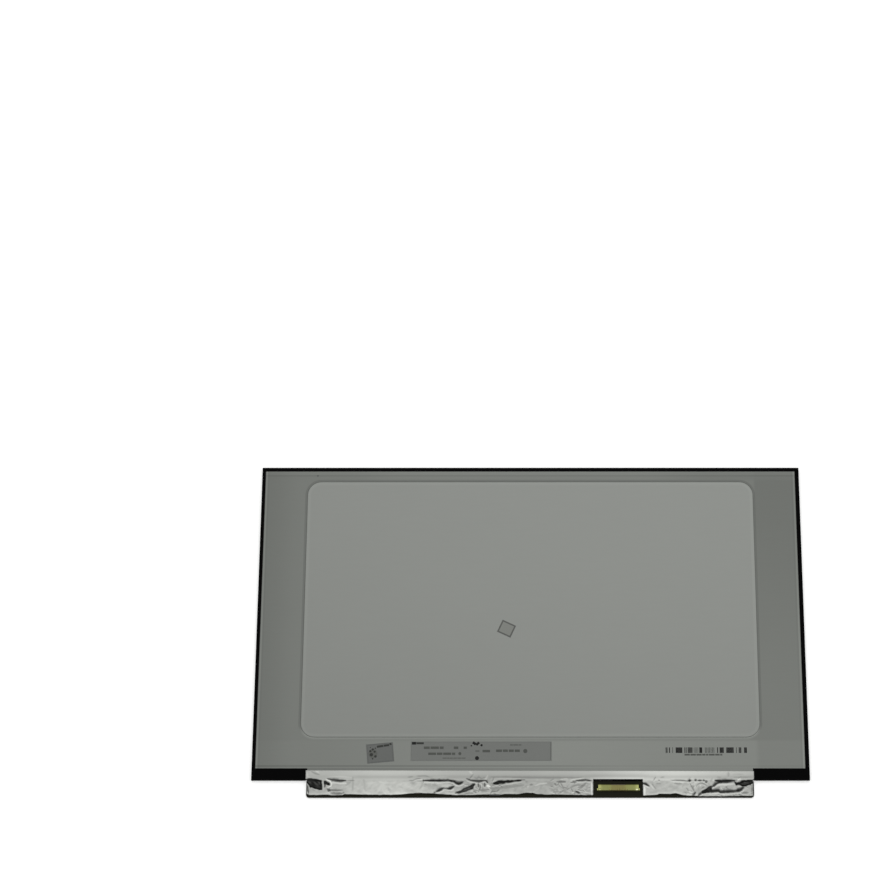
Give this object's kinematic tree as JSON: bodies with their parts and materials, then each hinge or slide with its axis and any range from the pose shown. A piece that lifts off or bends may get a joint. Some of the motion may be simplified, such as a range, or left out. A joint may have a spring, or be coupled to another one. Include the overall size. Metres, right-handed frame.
{
  "type": "laptop screen panel",
  "caption": "Thin rear-lit laptop display panel with a stamped back plate, black edge tape, a foil-covered circuit board along its lower edge and a cable receptacle.",
  "frame": {"origin": "middle of the footprint, on the surface that the panel lies on with its picture side down", "axes": "+X along the long side, left to right as seen from behind; +Y up the picture, away from the circuit board; +Z from the front to the rear"},
  "size_m": [0.3506, 0.2162, 0.003],
  "materials": {
    "front_polarizer": "matt anti-glare film",
    "filter_glass": "clear thin glass",
    "transistor_glass": "clear thin glass",
    "rear_polarizer": "smooth film",
    "glass_adhesive": "black double-sided tape",
    "driver_chips": "bare silicon back",
    "signal_films": "amber polyimide film",
    "cover_film": "black film",
    "edge_tape": "black tape, slight sheen",
    "mould_frame": "moulded black polycarbonate",
    "upper_prism_sheet": "clear film with fine prisms",
    "lower_prism_sheet": "clear film with fine prisms",
    "diffuser_sheet": "milky film",
    "light_guide": "clear polished sheet",
    "reflector_sheet": "white film",
    "lamp_strip": "white printed film",
    "lamps": "white body with a yellow window",
    "lamp_tail": "amber polyimide film",
    "tail_socket": "ivory moulding",
    "back_plate": "satin stamped sheet",
    "circuit_board": "black solder resist",
    "receptacle_moulding": "brown liquid-crystal polymer",
    "receptacle_shell": "plated stamped sheet",
    "receptacle_contacts": "gold plate",
    "timing_controller": "moulded package",
    "power_chips": "moulded package",
    "memory_chip": "moulded package",
    "inductors": "ferrite",
    "capacitors": "ceramic with tinned ends",
    "resistors": "ceramic with tinned ends",
    "rear_foil": "wrinkled bright foil",
    "front_foil": "bright foil",
    "main_label": "grey translucent film",
    "small_label": "grey translucent film",
    "centre_sticker": "grey printed film"
  },
  "bodies": {
    "root": {"front_polarizer": "front_polarizer", "filter_glass": "filter_glass", "transistor_glass": "transistor_glass", "rear_polarizer": "rear_polarizer", "glass_adhesive": "glass_adhesive", "driver_chips": "driver_chips", "signal_films": "signal_films", "cover_film": "cover_film", "edge_tape": "edge_tape", "mould_frame": "mould_frame", "upper_prism_sheet": "upper_prism_sheet", "lower_prism_sheet": "lower_prism_sheet", "diffuser_sheet": "diffuser_sheet", "light_guide": "light_guide", "reflector_sheet": "reflector_sheet", "lamp_strip": "lamp_strip", "lamps": "lamps", "lamp_tail": "lamp_tail", "tail_socket": "tail_socket", "back_plate": "back_plate", "circuit_board": "circuit_board", "receptacle_moulding": "receptacle_moulding", "receptacle_shell": "receptacle_shell", "receptacle_contacts": "receptacle_contacts", "timing_controller": "timing_controller", "power_chips": "power_chips", "memory_chip": "memory_chip", "inductors": "inductors", "capacitors": "capacitors", "resistors": "resistors", "rear_foil": "rear_foil", "front_foil": "front_foil", "main_label": "main_label", "small_label": "small_label", "centre_sticker": "centre_sticker"}
  },
  "joints": []
}
